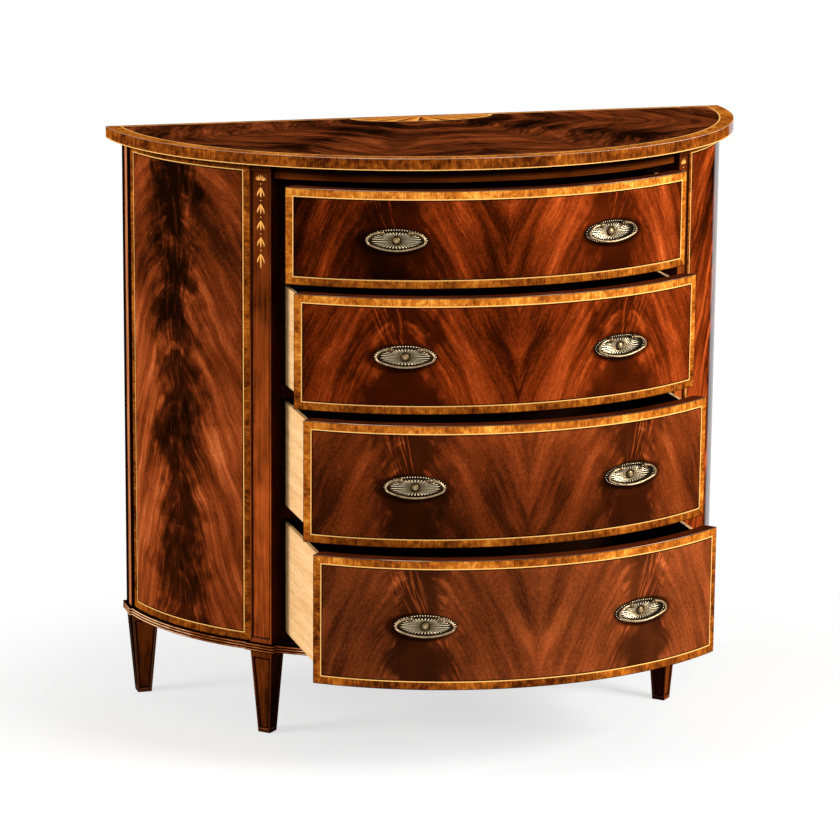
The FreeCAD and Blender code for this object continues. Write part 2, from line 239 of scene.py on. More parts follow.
class Finish:
    # The nodes of a material or of the world
    def __init__(self, name, holder=None):
        self.holder = holder or bpy.data.materials.new(name)
        self.holder.use_nodes = True
        self.tree = self.holder.node_tree
        self.tree.nodes.clear()

    def node(self, kind, settings=None, values=None, output=0):
        made = self.tree.nodes.new(kind)
        for key, value in (settings or {}).items():
            if key == "stops":
                elements = made.color_ramp.elements
                for place, colour in value[2:]:
                    elements.new(place)
                for element, (place, colour) in zip(elements, value):
                    element.position = place
                    element.color = colour
            else:
                setattr(made, key, value)
        for key, value in (values or {}).items():
            if isinstance(value, Wire):
                self.tree.links.new(value.socket, made.inputs[key])
            else:
                made.inputs[key].default_value = value
        return Wire(self, made.outputs[output]) if len(made.outputs) else None

    def split(self, vector):
        x = self.node("ShaderNodeSeparateXYZ", None, {0: vector})
        return x, x.other("Y"), x.other("Z")

    def place(self):
        # Object coordinates, which are the frame's own
        return self.split(self.node("ShaderNodeTexCoord", output="Object"))

    def facing(self):
        # The way that the surface looks
        return self.split(self.node("ShaderNodeTexCoord", output="Normal"))

    def map(self):
        return self.split(self.node("ShaderNodeUVMap", {"uv_map": "UVMap"}))[:2]

    def relief(self):
        return self.node("ShaderNodeAttribute", {"attribute_name": "relief"}, output="Fac")

    def noise(self, x, y, z, detail=3.0, roughness=0.55):
        where = self.node("ShaderNodeCombineXYZ", None, {0: x, 1: y, 2: z})
        values = {"Vector": where, "Scale": 1.0, "Detail": detail, "Roughness": roughness}
        return self.node("ShaderNodeTexNoise", None, values)

    def specks(self, x, y, z, size):
        # Small round marks, one in each cell
        where = self.node("ShaderNodeCombineXYZ", None, {0: x, 1: y, 2: z})
        return 1 - self.node("ShaderNodeTexVoronoi", None, {"Vector": where, "Scale": 1.0}).rise(0.0, size)

    def mix(self, share, first, second):
        return self.node("ShaderNodeMix", {"data_type": "RGBA"}, {0: share, 6: first, 7: second}, 2)

    def ramp(self, value, *stops):
        return self.node("ShaderNodeValToRGB", {"stops": stops}, {0: value})

    def seen(self):
        # 1 for what the camera sees straight, in a reflection or through glass
        camera = self.node("ShaderNodeLightPath", output="Is Camera Ray")
        return (camera + camera.other("Is Glossy Ray") + camera.other("Is Transmission Ray")).least(1.0)

    def polish(self):
        # Clear polish that shows only at a glancing angle
        glance = self.node("ShaderNodeLayerWeight", None, {"Blend": 0.5}, "Facing")
        weight = glance.rise(*polishLook["glance"]) * polishLook["weight"]
        return {"Coat_Weight": weight, "Coat_Roughness": polishLook["roughness"]}

    def surface(self, colour, roughness, height=None, depth=0.0002, specular=0.0, **fixed):
        values = {"Base Color": colour, "Roughness": roughness, "Specular IOR Level": specular}
        if height is not None:
            values["Normal"] = self.node("ShaderNodeBump", None, {"Distance": depth, "Height": height})
        values.update({key.replace("_", " "): value for key, value in fixed.items()})
        shader = self.node("ShaderNodeBsdfPrincipled", None, values)
        self.node("ShaderNodeOutputMaterial", None, {"Surface": shader})
        return self.holder


redFlame = ((0.06, tone(18, 4, 0)), (0.28, tone(54, 15, 2)), (0.5, tone(104, 36, 7)),
            (0.72, tone(154, 62, 20)), (0.96, tone(206, 98, 40)))
warmFlame = ((0.06, tone(20, 6, 1)), (0.28, tone(56, 20, 5)), (0.5, tone(104, 42, 13)),
             (0.72, tone(150, 69, 29)), (0.96, tone(196, 106, 56)))
brownFlame = ((0.06, tone(20, 7, 2)), (0.28, tone(56, 22, 7)), (0.5, tone(102, 45, 17)),
              (0.72, tone(146, 68, 30)), (0.96, tone(192, 102, 52)))
# Dark old polish for specks, lines and seams, and also the colour of painted shade and painted shadows
darkPolishAndShade = tone(14, 4, 1)
lineTone = tone(232, 176, 98)


def flameFigure(finish, u, v, look, lift=0.0):
    # Crotch figure: streaks arch over the upright axis of a dark plume and fall steeply beside it.
    # The one through (u, v) crosses the axis at v + slant (sqrt(u^2 + crown^2) - crown) + droop u^2
    seed, crown = look["seed"], look["crown"]
    sway = finish.noise(u * 7, v * 7, seed, 2) - 0.5
    ripple = finish.noise(u * 40, v * 40, seed + 5, 2) - 0.5
    across = u + sway * look["sway"]
    away = (across * across + crown ** 2) ** 0.5
    start = v + (away - crown) * look["slant"] + across * across * look["droop"] + ripple * 0.006
    line = start / (1 + away * look["spread"])
    run = away * 0.9 - v * 0.6
    bands = finish.noise(line * 30, run * 5, seed + 7, 3, 0.5)
    streak = finish.noise(line * 120, run * 12, seed + 3, 4, 0.6)
    hair = finish.noise(line * 430, run * 30, seed + 11, 2)
    pore = finish.noise(line * 640, run * 200, seed + 61, 2, 0.7)
    cloud = finish.noise(u * 9, v * 7, seed + 17, 3)
    lobes = finish.noise(across * 26, v * 20, seed + 51, 3)
    ragged = (lobes - 0.5) * look["ragged"] + (bands - 0.5) * 0.04 + (streak - 0.5) * 0.03
    edge = abs(across) - look["plume"] + v * look["flare"] + ragged
    plume = 1 - edge.rise(*look["plumeSoft"])
    # Curled tips along the plume's edge, and bright hairs in the middle of it
    curls = finish.noise(line * 80, run * 30, seed + 41, 3).rise(0.53, 0.68) * plume * (1 - plume) * 4
    fan = (across - v * look["fleckLean"]) / (1 + v.most(0.0) * 7)
    fleck = finish.noise(fan * 400, v * 20, seed + 29, 3).rise(0.5, 0.62)
    fleck = fleck * (1 - abs(fan).rise(0.008, 0.022)) * v.rise(*look["fleckFrom"])
    calm = (1 - plume * look["calm"]) * look["contrast"]
    figure = (bands - 0.5) * 1.35 + (streak - 0.5) * 0.7 + (hair - 0.5) * 0.35
    shade = look["level"] + figure * calm + (pore - 0.5) * (0.5 - plume * 0.4)
    shade = shade + (cloud - 0.5) * look["cloud"] - plume * look["plumeDepth"]
    # `lift` brings the painted light and shade that the callers give
    shade = shade + fleck * look["fleck"] + curls * 0.2 + lift
    colour = finish.ramp(shade, *look["tones"])
    specks = finish.specks(u * 150, v * 120, seed, 0.17) * cloud.rise(0.4, 0.62)
    return finish.mix(specks * 0.8, colour, darkPolishAndShade), streak


def crossband(finish, along, edge, seed, level=0.5):
    # Straight-grained border, its grain square to the edge, mottled and pitted
    fibre = finish.noise(along * 520, edge * 40, seed, 3, 0.6)
    mottle = finish.noise(along * 110, edge * 90, seed + 5, 4, 0.65)
    patch = finish.noise(along * 13, edge * 9, seed + 9, 2)
    shade = level + (fibre - 0.5) * 0.65 + (mottle - 0.5) + (patch - 0.5) * 0.9
    colour = finish.ramp(shade, (0.1, tone(60, 22, 4)), (0.36, tone(124, 60, 13)),
                         (0.6, tone(176, 98, 26)), (0.9, tone(230, 160, 64)))
    pits = finish.specks(along * 140, edge * 140, seed, 0.16)
    return finish.mix(pits * 0.8, colour, tone(30, 10, 3))


borderLook = {
    "band": 0.0118, "line": 0.0015, "darkLine": 0.0016, "rim": 0.0016, "soft": 0.0002,
    "paintedTopShadowFrom": 0.015, "paintedTopShadowTo": 0.003,
}


def bordered(finish, field, along, edge, seed, level):
    # From the edge inwards: a dark rim, the crossband, a light line, a dark line and the field
    look = borderLook
    soft = look["soft"]
    band = look["band"]
    line = band + look["line"]
    dark = line + look["darkLine"]
    border = crossband(finish, along, edge, seed, level)
    colour = finish.mix(edge.rise(band - soft, band + soft), border, lineTone)
    colour = finish.mix(edge.rise(line - soft, line + soft), colour, darkPolishAndShade)
    colour = finish.mix(edge.rise(dark - soft * 4, dark + soft * 4), colour, field)
    return finish.mix(edge.rise(look["rim"] * 0.4, look["rim"]), darkPolishAndShade, colour)


def borderedVeneer(name, halfLength, halfHeight, seed, look, paint):
    # A board's show face: paint(finish, u, v) gives the field and its streaks, and a painted shadow may
    # darken the board along its upper edge, under the top
    finish = Finish(name)
    u, v = finish.map()
    ends = halfLength - abs(u)
    rims = halfHeight - abs(v)
    onEnd = ends.under(rims)
    along = onEnd * v + (1 - onEnd) * u
    field, streak = paint(finish, u, v)
    # Painted light: the border is lighter towards the top of the board and darker towards its foot
    level = look["border"] + v * (look["paintedLightFall"] / halfHeight)
    colour = bordered(finish, field, along, ends.least(rims), seed, level)
    # Painted shadow under the edge of the top: the board darkens along its upper edge
    paintedTopShadow = v.rise(halfHeight - borderLook["paintedTopShadowFrom"], halfHeight - borderLook["paintedTopShadowTo"])
    colour = finish.mix(paintedTopShadow * look["paintedTopShadow"], colour, darkPolishAndShade)
    return finish.surface(colour, 0.32 + (streak - 0.5) * 0.12, streak, 0.00006, **finish.polish())


def solidMahogany(name, dark, light, seed):
    finish = Finish(name)
    x, y, z = finish.place()
    grain = finish.noise(x * 14 + y * 9, y * 260, z * 120 + seed, 4, 0.6)
    patch = finish.noise(x * 9, y * 9, z * 9 + seed, 2)
    shade = 0.5 + (grain - 0.5) * 1.2 + (patch - 0.5) * 0.8
    colour = finish.ramp(shade, (0.15, dark), (0.85, light))
    return finish.surface(colour, 0.36 + (grain - 0.5) * 0.2, grain, 0.0001)


def arrisFinish(name, pale, dark, wearAndGlint=0.15):
    # A soft corner: pale in stretches where it looks up (wear and painted highlight), dark with old polish
    # elsewhere
    finish = Finish(name)
    x, y, z = finish.place()
    up = finish.facing()[2]
    rubbedAndGlint = wearAndGlint + finish.noise(x * 7, y * 7, z * 7, 3).rise(0.46, 0.64) * 0.7
    colour = finish.mix(up.rise(0.1, 0.6) * rubbedAndGlint, dark, pale)
    return finish.surface(colour, 0.3)


edgeMahogany = solidMahogany("edgeMahogany", tone(28, 9, 2), tone(90, 35, 12), 3.0)
# Painted highlights, partly wear, along the arrises of the drawer fronts and of the top
boardArris = arrisFinish("boardArris", tone(214, 178, 150), tone(40, 14, 5))
topArris = arrisFinish("topArris", tone(252, 232, 212), tone(60, 24, 8), 0.6)


# Drawer fronts: a bowed board whose outer face is an ellipse and whose ends slant with the posts

frontLook = {
    "halfWidth": 0.480, "depth": 0.418, "thickness": 0.022, "endClearance": 0.0012, "seat": 0.0005,
    "columns": 161, "arris": 0.0008,
    "slant": 1.5, "droop": 7.0, "spread": 9.0, "crown": 0.03, "sway": 0.03, "cloud": 0.5,
    "plume": 0.051, "flare": 0.1, "ragged": 0.12, "plumeDepth": 0.22, "plumeSoft": (-0.034, 0.016),
    "calm": 0.97, "fleckFrom": (0.004, 0.026), "fleckLean": 0.25, "fleck": 0.3,
    "paintedLightFall": 0.1, "paintedTopShadow": 0.0,
    "plateShadowReach": (0.0475, 0.0195), "plateShadowDrop": 0.0024, "plateShadowFade": (1.0, 1.5), "plateShadowDepth": 0.75,
}
# For each drawer: its tones, how light its field and border are, how strong its figure is, and how much
# paler the right leaf is and the veneer gets to the right, both painted light
frontTones = {
    1: {"tones": redFlame, "level": 0.42, "border": 0.52, "contrast": 0.8, "leaf": 0.07, "paintedLightDrift": 0.28},
    2: {"tones": redFlame, "level": 0.45, "border": 0.5, "contrast": 0.75, "leaf": 0.04, "paintedLightDrift": 0.08},
    3: {"tones": warmFlame, "level": 0.4, "border": 0.48, "contrast": 0.5, "leaf": 0.03, "paintedLightDrift": 0.1},
    4: {"tones": brownFlame, "level": 0.47, "border": 0.37, "contrast": 0.45, "leaf": 0.05, "paintedLightDrift": 0.18},
}


def drawerVeneer(number, halfLength, halfHeight, plumePlace):
    look = dict(frontLook, seed=number * 31.7, **frontTones[number])

    def paint(finish, u, v):
        # Two leaves of one veneer, opened like a book at the middle, the right one painted paler as a sheen
        # Painted light: the right leaf is lifted, and the face grows paler to the right
        lift = (1 - u.under(0.0)) * look["leaf"] + u * look["paintedLightDrift"]
        fromPull = abs(u) - plumePlace
        field, streak = flameFigure(finish, fromPull, v, look, lift)
        # Painted shadow of the oval plate, round it and below it
        along = fromPull / look["plateShadowReach"][0]
        up = (v + look["plateShadowDrop"]) / look["plateShadowReach"][1]
        plateShadow = 1 - (along * along + up * up).rise(*look["plateShadowFade"])
        return finish.mix(plateShadow * look["plateShadowDepth"], field, darkPolishAndShade), streak

    return borderedVeneer("drawerVeneer%d" % number, halfLength, halfHeight, number * 13.1, look, paint)


def frontLines(forward, boxHalf):
    # The outer ellipse and, inside it, the line that the box sides meet. Beyond them the inner face is
    # flat, to close on the partitions, and its ends keep to the slanted end faces
    lines = []
    for inset in (0.0, frontLook["thickness"]):
        halfWidth, depth = frontLook["halfWidth"] - inset, frontLook["depth"] - inset
        end = angleAtPost(halfWidth, depth, -postHalf - frontLook["endClearance"])
        lines.append(ovalLine(np.linspace(-end, end, frontLook["columns"]), halfWidth, depth, forward))
    outer, inner = lines
    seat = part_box("right_partition")[0].y - frontLook["seat"] - forward
    back = np.where(np.abs(inner[:, 0]) > boxHalf, np.maximum(inner[:, 1] - seat, 0.0), 0.0)
    inner[:, 1] -= back
    inner[-1, 0] += back[-1]
    inner[0, 0] -= back[0]
    return outer, inner


def makeDrawerFront(number):
    node = "drawer_%d_front" % number
    low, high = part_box(node)
    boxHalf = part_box("drawer_%d_right_side" % number)[1].x
    outer, inner = frontLines(backLine - frontLook["depth"] - low.y, boxHalf)
    halfLength = arcLength(outer)[-1] / 2
    pull = joints["right_bail_%d_swing" % number]["pos_m"]
    plumePlace = halfLength - arcLength(outer[outer[:, 0] >= pull[0]])[-1]
    veneer = drawerVeneer(number, halfLength, (high.z - low.z) / 2, plumePlace)
    makePiece("drawerFront%d" % number, slabSheets(outer, inner, low.z, high.z), "drawer_%d" % number,
              (veneer, edgeMahogany, boardArris), (node,),
              arris=frontLook["arris"], arrisZone=2)


for number in drawers:
    makeDrawerFront(number)
print("drawer fronts made")


# Side panels and frieze

panelLook = {
    "halfWidth": 0.487, "depth": 0.418, "thickness": 0.016, "columns": 81, "arris": 0.0004,
    "slant": 2.0, "droop": 6.0, "spread": 7.0, "crown": 0.03, "sway": 0.05, "cloud": 0.7, "lean": 0.02,
    "plume": 0.055, "flare": 0.01, "ragged": 0.16, "plumeDepth": 0.42, "plumeSoft": (-0.055, 0.022),
    "calm": 0.65, "fleckFrom": (-0.5, -0.4), "fleckLean": 0.0, "fleck": 0.2,
    "paintedUpperShade": (-0.05, 0.36), "paintedUpperShadeDepth": 0.2, "paintedBackSheen": (0.05, 0.13), "paintedBackSheenLift": 0.1,
    "level": 0.56, "border": 0.36, "paintedLightFall": 0.0, "paintedTopShadow": 0.8, "seed": 57.0, "borderSeed": 7.3,
}
# For each hand: its tones, how strong its figure is, and how far back from the middle the plume stands
panelTones = {
    "left": {"tones": warmFlame, "contrast": 0.68, "plumeShare": 0.05},
    "right": {"tones": redFlame, "contrast": 1.0, "plumeShare": 0.2},
}


def makeSidePanel(hand, side):
    look = dict(panelLook, **panelTones[hand])
    node = hand + "_side_panel"
    low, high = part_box(node)
    start = angleAtPost(look["halfWidth"], look["depth"], postHalf)
    stop = math.acos((backLine - high.y) / look["depth"])
    angles = np.linspace(start, stop, look["columns"]) * side
    outer = ovalLine(angles, look["halfWidth"], look["depth"])
    inner = ovalLine(angles, look["halfWidth"] - look["thickness"], look["depth"] - look["thickness"])
    inner[-1, 1] = inner[-2, 1] = outer[-1, 1]
    halfLength = arcLength(outer)[-1] / 2

    def paint(finish, u, v):
        # Painted shade darkens it towards the top, and a painted sheen makes it paler towards the back
        figure = v * look["lean"] + halfLength * look["plumeShare"] - u
        lift = u.rise(*look["paintedBackSheen"]) * look["paintedBackSheenLift"] - v.rise(*look["paintedUpperShade"]) * look["paintedUpperShadeDepth"]
        return flameFigure(finish, figure, v, look, lift)

    veneer = borderedVeneer(hand + "PanelVeneer", halfLength, (high.z - low.z) / 2, look["borderSeed"],
                            look, paint)
    makePiece(hand + "SidePanel", slabSheets(outer, inner, low.z, high.z), "case",
              (veneer, edgeMahogany), (node,), arris=look["arris"])


for hand, side in hands:
    makeSidePanel(hand, side)

friezeLook = {"thickness": 0.02, "arris": 0.0005, "paintedTopShadow": (-0.007, 0.001), "paintedTopShadowDepth": 0.93}


def friezeVeneer():
    # Plain grain along the rail, with a painted shadow under the edge of the top
    finish = Finish("friezeVeneer")
    u, v = finish.map()
    grain = finish.noise(u * 9, v * 420, 4.0, 4, 0.6)
    patch = finish.noise(u * 14, v * 30, 9.0, 2)
    shade = 0.5 + (grain - 0.5) * 1.1 + (patch - 0.5) * 0.8
    colour = finish.ramp(shade, (0.15, tone(34, 11, 2)), (0.85, tone(122, 56, 15)))
    # Painted shadow: the rail darkens towards its top, under the edge of the top
    colour = finish.mix(v.rise(*friezeLook["paintedTopShadow"]) * friezeLook["paintedTopShadowDepth"], colour, darkPolishAndShade)
    return finish.surface(colour, 0.34, grain, 0.00006)


def makeFrieze():
    low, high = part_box("frieze_rail")
    lines = []
    for inset in (0.0, friezeLook["thickness"]):
        halfWidth, depth = frontLook["halfWidth"] - inset, frontLook["depth"] - inset
        end = angleAtPost(halfWidth, depth, -postHalf)
        lines.append(ovalLine(np.linspace(-end, end, frontLook["columns"]), halfWidth, depth))
    makePiece("friezeRail", slabSheets(*lines, low.z, high.z), "case",
              (friezeVeneer(), edgeMahogany), ("frieze_rail",), arris=friezeLook["arris"])


makeFrieze()
print("side panels and frieze made")


# Top: a half-oval board of four matched leaves, with a fan at the middle of its back edge

topLook = {
    "rings": 24, "columns": 181, "arris": 0.0024, "edgeLevel": 0.28,
    "band": 0.021, "backBand": 0.010, "line": 0.0022, "leaves": 4, "chevron": 0.5,
    "fanHalfWidth": 0.118, "fanDepth": 0.053, "fanRays": 9, "fanLine": 0.05,
    "edgeLine": 0.0014, "meanRadius": 0.46, "soft": 0.0004,
}


def topFigure(finish, angle, reach):
    # Leaves radiate from the fan, mirrored at their seams. A streak keeps reach + chevron m, where m is the
    # distance from the middle line of its leaf, and the outer seams run through dark plumes
    look = topLook
    share = math.pi / look["leaves"]
    turn = (angle / share + 50.0).fraction() - 0.5
    aside = abs(turn) * share * reach
    bend = finish.noise(reach * 9, aside * 9, 11.0, 3) - 0.5
    line = reach + aside * look["chevron"] + bend * 0.06
    bands = finish.noise(line * 26, aside * 9, 21.0, 3, 0.5)
    streak = finish.noise(line * 120, aside * 22, 25.0, 5, 0.62)
    cloud = finish.noise(reach * 7, angle * 2.2, 31.0, 3)
    plume = abs(abs(angle) - math.pi / 4) * reach + (bands - 0.5) * 0.12 + (streak - 0.5) * 0.06
    shade = 0.38 + (bands - 0.5) * 1.1 + (streak - 0.5) * 0.9 + (cloud - 0.5) * 0.5
    shade = shade - (1 - plume.rise(0.0, 0.07)) * 0.2
    seam = abs(abs(turn) - 0.5) * share * reach
    return finish.mix(1 - seam.rise(0.0002, 0.0008), finish.ramp(shade, *brownFlame), darkPolishAndShade), streak


def fanInlay(finish, field, x, back):
    # A half-oval fan of wedge rays, each scorched along one side, inside a light line
    look = topLook
    across = x / look["fanHalfWidth"]
    deep = (back - look["backBand"]) / look["fanDepth"]
    size = (across ** 2 + deep ** 2) ** 0.5
    turn = across.turnTo(deep) / math.pi * look["fanRays"] + 100.5
    grain = finish.noise(turn * 9, size * 5, 3.0, 3) - 0.5
    rays = finish.ramp(turn.fraction() + grain * 0.2, (0.08, tone(84, 36, 9)), (0.3, tone(150, 76, 22)),
                       (0.55, tone(206, 122, 44)), (0.95, tone(242, 166, 76)))
    rays = finish.mix(size.rise(1 - look["fanLine"], 1 - look["fanLine"] * 0.8), rays, lineTone)
    return finish.mix(1 - size.rise(0.995, 1.005), field, rays)


def topVeneer(halfWidth, depth):
    look = topLook
    finish = Finish("topVeneer")
    x, y, z = finish.place()
    back = backLine - y
    angle = x.turnTo(back)
    reach = (x * x + back * back) ** 0.5
    # Distance in from the curved edge, near enough: (1 - r) times the ellipse's own radius there
    scaled = ((x / halfWidth) ** 2 + (back / depth) ** 2) ** 0.5
    rim = reach / scaled.most(0.05) * (1 - scaled)
    behind = back + (look["band"] - look["backBand"])
    edge = rim.least(behind)
    onBack = behind.under(rim)
    along = onBack * x + (1 - onBack) * angle * look["meanRadius"]
    field, streak = topFigure(finish, angle, reach)
    field = fanInlay(finish, field, x, back)
    band = look["band"]
    line = band + look["line"]
    border = crossband(finish, along, edge, 41.0)
    colour = finish.mix(edge.rise(band, band + look["soft"]), border, lineTone)
    colour = finish.mix(edge.rise(line, line + look["soft"]), colour, field)
    return finish.surface(colour, 0.4 + (streak - 0.5) * 0.1, streak, 0.00005)


def topEdgeVeneer(halfHeight):
    # Crossband round the edge, with a light line along its foot
    finish = Finish("topEdgeVeneer")
    u, v = finish.map()
    rise = v + halfHeight
    line = topLook["edgeLine"]
    band = crossband(finish, u, rise, 71.0, topLook["edgeLevel"])
    colour = finish.mix(rise.rise(line, line + topLook["soft"]), lineTone, band)
    return finish.surface(colour, 0.3, **finish.polish())


def makeTop():
    look = topLook
    low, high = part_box("top_panel")
    halfWidth, depth = high.x, high.y - low.y
    angles = np.linspace(-math.pi / 2, math.pi / 2, look["columns"])
    rim = ovalLine(angles, halfWidth, depth)
    middle = np.array([0.0, backLine])
    shares = np.linspace(0, 1, look["rings"])
    flat = middle + shares[:, None, None] * (rim - middle)
    faces = [sheet(np.concatenate([flat, np.full((*flat.shape[:2], 1), z)], -1), zone=zone)
             for z, zone in ((high.z, 0), (low.z, 2))]
    chord = np.concatenate([flat[::-1, 0], flat[1:, -1]])
    faces.append(wall(rim, low.z, high.z, zone=1))
    faces.append(strip(raised(chord, low.z), raised(chord, high.z), zone=2))
    finishes = (topVeneer(halfWidth, depth), topEdgeVeneer((high.z - low.z) / 2), edgeMahogany, topArris)
    makePiece("topPanel", faces, "case", finishes, ("top_panel",),
              arris=look["arris"], arrisZone=3)


makeTop()
print("top made")


# Posts and legs: square bars whose faces hold a sunk panel inside a narrow frame

barLook = {
    "frame": 0.0032, "sunk": 0.0022, "glazeAndShade": {"post": 0.003, "leg": 0.0046}, "arris": 0.0006,
    "postCollar": 0.012, "postFoot": 0.007, "legCollar": 0.011, "legFoot": 0.006,
    "footHalf": {"front": 0.0105, "back": 0.01125},
    "paintedUpperShade": (0.35, 0.9), "paintedUpperShadeDepth": 0.7, "paintedTopShadowFrom": 0.016, "paintedTopShadowTo": 0.004, "paintedTopShadow": 0.8,
}


def barFinish(name, dark, light):
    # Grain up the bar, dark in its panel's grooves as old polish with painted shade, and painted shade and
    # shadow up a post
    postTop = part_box("left_post")[1].z
    finish = Finish(name)
    x, y, z = finish.place()
    grain = finish.noise(x * 330, y * 330, z * 11, 4, 0.6)
    patch = finish.noise(x * 26, y * 26, z * 14 + 4, 3)
    shade = 0.5 + (grain - 0.5) * 1.0 + (patch - 0.5) * 1.2
    colour = finish.ramp(shade, (0.15, dark), (0.85, light))
    pits = finish.specks(x * 95, y * 95, z * 95, 0.1)
    glazeAndShade = 1 - finish.relief().rise(0.2, 0.58)
    paintedTopShadow = z.rise(postTop - barLook["paintedTopShadowFrom"], postTop - barLook["paintedTopShadowTo"]) * barLook["paintedTopShadow"]
    # Painted shade: a post darkens towards its top
    colour = finish.mix(z.rise(*barLook["paintedUpperShade"]) * barLook["paintedUpperShadeDepth"], colour, darkPolishAndShade)
    # Dark in the panel's recess (old polish and painted shade), dark pits, and a painted shadow under the
    # top
    colour = finish.mix((glazeAndShade * 0.94).most(pits * 0.7).most(paintedTopShadow), colour, tone(8, 3, 1))
    return finish.surface(colour, 0.34 + (grain - 0.5) * 0.15, grain, 0.00008)


def barSheets(kind, x, y, turn, halfAt, z0, z1, panelled, shadeQuarters=(), jointShade=None):
    # Four faces, each a grid of columns across and rows up: the middle columns of the middle rows lie
    # deeper by `sunk`, and the repeated lines between make the walls of the panel; its dark ring is old
    # polish and painted shade. `jointShade` names the first or last columns, dark as a joint and as painted
    # shade where a panelled face meets its neighbour. `shadeQuarters` are the faces that take the finish of
    # painted shade
    frameWidth, sunk, glazeAndShade = barLook["frame"], barLook["sunk"], barLook["glazeAndShade"][kind]
    low, high = z0 + barLook[kind + "Foot"], z1 - barLook[kind + "Collar"]
    rows = np.array([z0, low, low, low + glazeAndShade, high - glazeAndShade, high, high, z1])
    half = halfAt(rows)[:, None]
    inset = np.array([0, frameWidth, frameWidth, frameWidth + glazeAndShade])
    columns = np.concatenate([inset[None] - half, (half - inset[None])[:, ::-1]], 1)
    inPanel = np.zeros((8, 8))
    inPanel[2:6, 2:6] = 1.0
    relief = np.ones((8, 8))
    relief[2:6, 2:6] = 0.0
    relief[3:5, 3:5] = 0.6
    if jointShade:
        relief[:, jointShade] = 0.0
    sheets = []
    for quarter in range(4):
        spin = turn + quarter * math.pi / 2
        across = np.array([math.cos(spin), math.sin(spin)])
        out = np.array([math.sin(spin), -math.cos(spin)])
        has = quarter in panelled
        outwards = half - inPanel * sunk * has
        plan = np.array([x, y]) + columns[..., None] * across + outwards[..., None] * out
        grid = np.concatenate([plan, np.broadcast_to(rows[:, None, None], (8, 8, 1))], -1)
        sheets.append(sheet(grid, zone=int(quarter in shadeQuarters), relief=relief if has else None))
    for row in (0, -1):
        a, b = np.meshgrid(columns[row], columns[row])
        c, s = math.cos(turn), math.sin(turn)
        grid = np.stack([x + a * c - b * s, y + a * s + b * c, np.full_like(a, rows[row])], -1)
        sheets.append(sheet(grid))
    return sheets


postFinish = barFinish("postMahogany", tone(64, 22, 4), tone(178, 82, 30))
legFinish = barFinish("legMahogany", tone(30, 9, 2), tone(120, 54, 15))
# Painted shade: darker copies of the mahogany for faces turned from the light, the darkest for the back
# legs' sides
paintedShadeFinish = barFinish("paintedShadeMahogany", tone(14, 3, 1), tone(52, 18, 7))
paintedDeepShadeFinish = barFinish("paintedDeepShadeMahogany", tone(3, 1, 0), tone(14, 4, 2))
# Arris finishes of posts and legs; the back legs' lighter tone is a painted highlight along their upright
# corners
barArris = arrisFinish("barArris", tone(150, 100, 66), tone(64, 26, 10))
backLegArris = arrisFinish("backLegArris", tone(170, 138, 104), tone(84, 56, 36))


def makePosts():
    for hand, side in hands:
        low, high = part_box(hand + "_post")
        # The post's inward face takes the finish of painted shade
        outward, inward = (3, 0) if side < 0 else (0, 3)
        jointShade = slice(0, 2) if side < 0 else slice(6, 8)
        sheets = barSheets("post", side * postX, postY, math.radians(45),
                           lambda z: np.full(len(z), postHalf),
                           low.z, high.z, (outward,), (inward,), jointShade)
        makePiece(hand + "Post", sheets, "case", (postFinish, paintedShadeFinish, barArris),
                  (hand + "_post",), arris=barLook["arris"], arrisZone=2)


legFinishes = {
    "front": (legFinish, paintedShadeFinish, barArris), "back": (legFinish, paintedDeepShadeFinish, backLegArris),
}


def makeLegs():
    for hand, side in hands:
        for end in ("front", "back"):
            node = "%s_%s_leg" % (hand, end)
            low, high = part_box(node)
            x, y = (low.x + high.x) / 2, (low.y + high.y) / 2
            topHalf = postHalf if end == "front" else (high.x - low.x) / 2
            footHalf = barLook["footHalf"][end]
            turn = math.radians(45) if end == "front" else 0.0
            outer = (3,) if (end, side) == ("front", -1) else (0,)
            # Every face but the outward one takes the finish of painted shade
            shadeQuarters = [quarter for quarter in range(4) if quarter not in outer]
            sheets = barSheets("leg", x, y, turn, lambda z: footHalf + (topHalf - footHalf) * z / high.z,
                               low.z, high.z, (0, 1, 2, 3), shadeQuarters)
            makePiece(hand + end.capitalize() + "Leg", sheets, "case",
                      legFinishes[end], (node,), arris=barLook["arris"], arrisZone=2)


makePosts()
makeLegs()
print("posts and legs made")


# Husk inlay: a drop of bellflowers on each post

huskLook = {
    "top": 0.868, "pitch": 0.0252, "count": 5, "petal": 0.0165, "lastPetal": 1.45, "proud": 0.0003,
    "sides": 12, "steps": 13, "crownRays": 3, "crownLean": 0.36, "crownReach": 0.009,
    "crownDrop": 0.004, "crownStep": 0.0011, "crownTaper": 0.0007, "crownWidth": 0.0009,
    "firstDrop": 0.0135, "midWidth": 0.0015, "leafWidth": 0.0013, "leafRoot": 0.0006,
    "leafBow": 0.0056, "leafShare": 0.86, "beadFrom": 0.0056, "beadTo": 0.0034, "beadWidth": 0.0011,
}


def petalSheet(spine, halfWidth, plane):
    # A lens-shaped leaf: an ellipse across, whose width swells and closes along the spine
    share = np.linspace(0, 1, huskLook["steps"])
    line = spine(share)
    heading = np.gradient(line, axis=0)
    normal = np.stack([-heading[:, 1], heading[:, 0]], -1)
    normal /= np.linalg.norm(normal, axis=1, keepdims=True)
    width = halfWidth * np.sin(np.pi * share) ** 0.75
    turn = np.linspace(0, 2 * np.pi, huskLook["sides"] + 1)
    flat = line[:, None] + normal[:, None] * (width[:, None] * np.cos(turn))[..., None]
    height = huskLook["proud"] * np.sin(turn)[None] * np.sin(np.pi * share)[:, None]
    return sheet(plane(flat[..., 0], height, flat[..., 1]))


